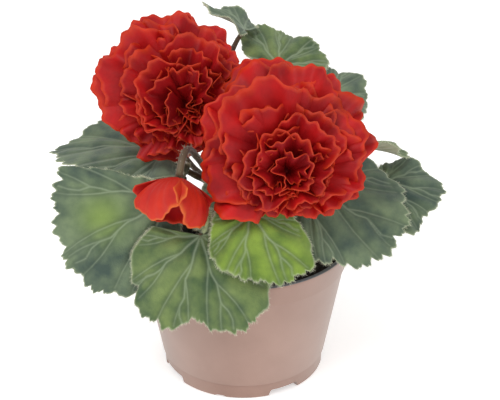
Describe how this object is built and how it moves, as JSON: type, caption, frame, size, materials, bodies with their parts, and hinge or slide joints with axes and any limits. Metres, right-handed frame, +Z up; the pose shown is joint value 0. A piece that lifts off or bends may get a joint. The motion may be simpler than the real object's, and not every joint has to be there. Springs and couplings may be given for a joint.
{
  "type": "potted begonia",
  "caption": "Potted begonia: double ruffled flowers over a mound of round toothed leaves on stalks, rooted in soil in a round tapered nursery pot.",
  "frame": {"origin": "centre of the pot's flat underside pad, in the plane the feet stand on", "axes": "+Z up along the pot's axis, -Y to the front of the plant, +X to the right seen from the front"},
  "size_m": [0.2137, 0.1646, 0.1959],
  "materials": {
    "pot": "matte",
    "soil": "rough",
    "stem": "matte",
    "stalk": "hairy",
    "leaf": "velvety",
    "petal": "satin"
  },
  "bodies": {
    "root": {"flower_left_heart": "petal", "flower_left_petal_1": "petal", "flower_left_petal_2": "petal", "flower_left_petal_3": "petal", "flower_left_petal_4": "petal", "flower_left_petal_5": "petal", "flower_left_petal_6": "petal", "flower_left_petal_7": "petal", "flower_left_petal_8": "petal", "flower_left_stalk": "stalk", "flower_right_heart": "petal", "flower_right_petal_1": "petal", "flower_right_petal_2": "petal", "flower_right_petal_3": "petal", "flower_right_petal_4": "petal", "flower_right_petal_5": "petal", "flower_right_petal_6": "petal", "flower_right_petal_7": "petal", "flower_right_petal_8": "petal", "flower_right_stalk": "stalk", "leaf_back_left": "leaf", "leaf_back_right": "leaf", "leaf_front": "leaf", "leaf_front_left": "leaf", "leaf_front_right": "leaf", "leaf_front_small": "leaf", "leaf_left": "leaf", "leaf_left_inner": "leaf", "leaf_right": "leaf", "leaf_right_back": "leaf", "leaf_top": "leaf", "leaf_top_left": "leaf", "leaf_top_right": "leaf", "leaf_under_flower": "leaf", "nodding_flower_heart": "petal", "nodding_flower_petal_1": "petal", "nodding_flower_petal_2": "petal", "nodding_flower_petal_3": "petal", "nodding_flower_stalk": "stalk", "pot": "pot", "soil": "soil", "stalk_back_left": "stalk", "stalk_back_right": "stalk", "stalk_front": "stalk", "stalk_front_left": "stalk", "stalk_front_right": "stalk", "stalk_front_small": "stalk", "stalk_left": "stalk", "stalk_left_inner": "stalk", "stalk_right": "stalk", "stalk_right_back": "stalk", "stalk_top": "stalk", "stalk_top_left": "stalk", "stalk_top_right": "stalk", "stalk_under_flower": "stalk", "stalk_young": "stalk", "stem_left": "stem", "stem_right": "stem", "young_leaf": "leaf"}
  },
  "joints": []
}
